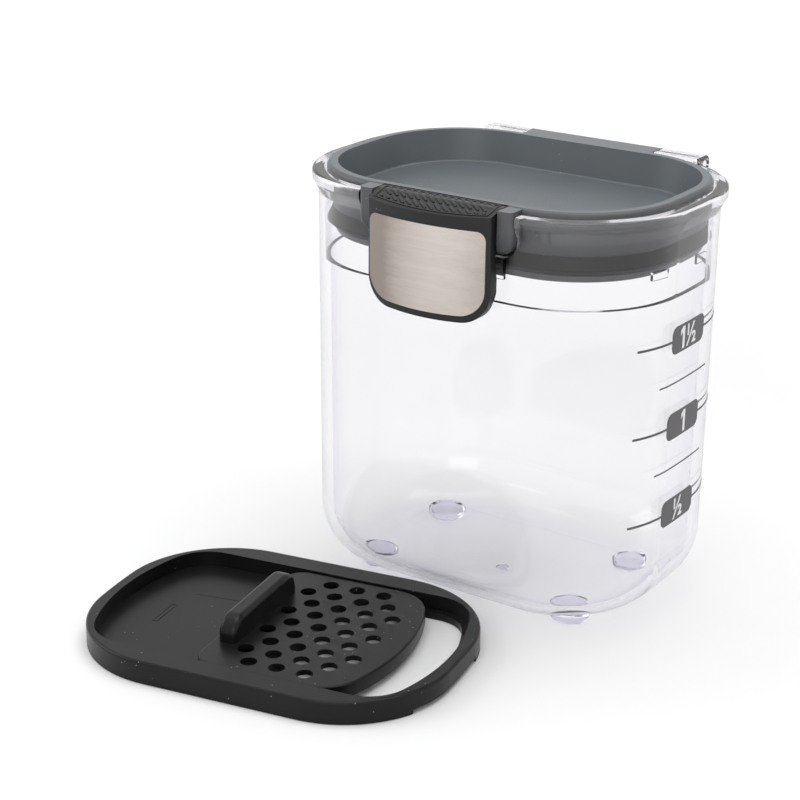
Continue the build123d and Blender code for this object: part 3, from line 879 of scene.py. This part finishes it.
deselect()
place = on_insert(*OUTLINE_AT, INSERT_FLOOR - OUTLINE_SUNK)
bpy.ops.mesh.primitive_plane_add(size=1, location=place, rotation=(0, 0, INSERT_TURN))
outline = bpy.context.object
outline.scale = OUTLINE_SIZE
apply_scale(outline)
edit(lambda: bpy.ops.mesh.inset(thickness=OUTLINE_LINE, depth=0))
inside = lambda f: f.calc_center_median().length < 0.1 * MM
edit(lambda: bpy.ops.mesh.delete(type="FACE"), inside)
modify(outline, "SOLIDIFY", thickness=OUTLINE_THICK, offset=1.0)
modify(outline, "BEVEL", width=MARK_EDGE, segments=2)
outline.name = "insert_outline_mark"
settle(outline, "insert", insert_black)

# %% Weld line on the insert
WELD_FROM = (-29.4 * MM, 9.9 * MM)
WELD_TO = (-16.5 * MM, 11 * MM)
WELD_WIDE = 0.16 * MM
WELD_THICK = 0.1 * MM

deselect()
line_from = on_insert(*WELD_FROM, INSERT_FLOOR)
line_to = on_insert(*WELD_TO, INSERT_FLOOR)
line = line_to - line_from
heading = math.atan2(line.y, line.x)
middle = (line_from + line_to) / 2
bpy.ops.mesh.primitive_cube_add(size=1, location=middle, rotation=(0, 0, heading))
weld = bpy.context.object
weld.scale = (line.length, WELD_WIDE, WELD_THICK)
apply_scale(weld)
modify(weld, "BEVEL", width=MARK_EDGE, segments=2)
weld.name = "insert_weld_line"
settle(weld, "insert", insert_black)

# %% Gate stub under the jar
GATE_AT = (JAR_X + 3.5 * MM, JAR_Y - 7 * MM, 1.8 * MM)
GATE_RADIUS = 1.5 * MM
GATE_LONG = 0.9 * MM
GATE_ROUND = 0.3 * MM
GATE_SIDES = 32

deselect()
bpy.ops.mesh.primitive_cylinder_add(
    vertices=GATE_SIDES, radius=GATE_RADIUS, depth=GATE_LONG, location=GATE_AT
)
gate = bpy.context.object
low_rim = lambda e: all(v.co.z < 0 for v in e.verts)
edit(lambda: bpy.ops.mesh.bevel(offset=GATE_ROUND, segments=3), low_rim, "edges")
gate.name = "jar_gate_stub"
settle(gate, "jar", clear)

# %% [markdown]
# ## Floor
# The floor is one large pale sheet, just under the feet. Near the object it is a matt floor
# that takes the soft shadow. Further off it begins to glow, which makes it the plain white of
# a studio sweep with no more light on the object.

# %% Floor
FLOOR_WIDE = 4
FLOOR_GAP = 0.2 * MM
PAPER = (0.93, 0.93, 0.93, 1)
PAPER_PALE = (0.95, 0.95, 0.95, 1)
PAPER_FINENESS, PAPER_MATT = 6, 0.9
GLOW_FROM, GLOW_TO, GLOW_MOST = 0.2, 1.6, 0.7
BLACK, WHITE = (0, 0, 0, 1), (1, 1, 1, 1)

deselect()
bpy.ops.mesh.primitive_plane_add(size=FLOOR_WIDE, location=(0, 0, -FLOOR_GAP))
floor = bpy.context.object
floor.name = "studio_floor"
paper = Finish("studio_paper", Roughness=PAPER_MATT, Emission_Strength=1.0)
paper.feed(Base_Color=paper.mix(paper.noise(PAPER_FINENESS), PAPER, PAPER_PALE))
away = paper.node(
    "ShaderNodeVectorMath", {"operation": "LENGTH"}, output=1, Vector=paper.place()
)
glow = paper.node(
    "ShaderNodeMapRange", Value=away, From_Min=GLOW_FROM, From_Max=GLOW_TO, To_Max=GLOW_MOST
)
paper.feed(Emission_Color=paper.mix(glow, BLACK, WHITE))
floor.data.materials.append(paper.material)

# %% [markdown]
# ## Backdrop
# The world is plain white where the camera sees it, also in reflections and through the clear
# wall. To everything else it gives less than half of that, so the object keeps its colours and
# its shadow.

# %% Backdrop
SEEN_LEVEL = 1.0
LIGHT_LEVEL = 0.4

world = bpy.data.worlds.new("studio_white")
bpy.context.scene.world = world
world.use_nodes = True
sky = world.node_tree
backdrop = sky.nodes["Background"]
backdrop.inputs["Color"].default_value = WHITE
path = sky.nodes.new("ShaderNodeLightPath")
seen = Signal(sky, path.outputs["Is Camera Ray"])
for ray in ("Is Glossy Ray", "Is Transmission Ray"):
    seen = seen.or_higher(Signal(sky, path.outputs[ray]))
level = LIGHT_LEVEL + seen * (SEEN_LEVEL - LIGHT_LEVEL)
wire(sky, backdrop.inputs["Strength"], level)
print("backdrop seen at", SEEN_LEVEL, "and lighting at", LIGHT_LEVEL)

# %% [markdown]
# ## Softboxes
# Three large lamps light the object as a table-top studio does: one above, one to the left
# and one in front. They are big and close, so the shadows have no hard edge.

# %% Softboxes
def softbox(name, place, target, size, power):
    """Rectangular lamp at a place, turned to face a point."""
    lamp = bpy.data.lights.new(name, "AREA")
    lamp.shape = "RECTANGLE"
    lamp.size, lamp.size_y = size
    lamp.energy = power
    made = bpy.data.objects.new(name, lamp)
    bpy.context.scene.collection.objects.link(made)
    made.location = place
    toward = Vector(target) - Vector(place)
    made.rotation_euler = toward.to_track_quat("-Z", "Y").to_euler()
    print("lamp", name, power, "W")


ON_TABLE = (0, 0, 0)
ON_WALL = (0, 0, 0.05)
ABOVE, ON_LEFT, IN_FRONT = (0.1, 0.1, 1.3), (-1.1, -0.5, 0.7), (0.5, -1.2, 0.6)
softbox("top_softbox", ABOVE, ON_TABLE, size=(1.2, 1.2), power=11)
softbox("left_softbox", ON_LEFT, ON_WALL, size=(0.8, 1.0), power=5)
softbox("front_softbox", IN_FRONT, ON_WALL, size=(0.9, 0.7), power=4)
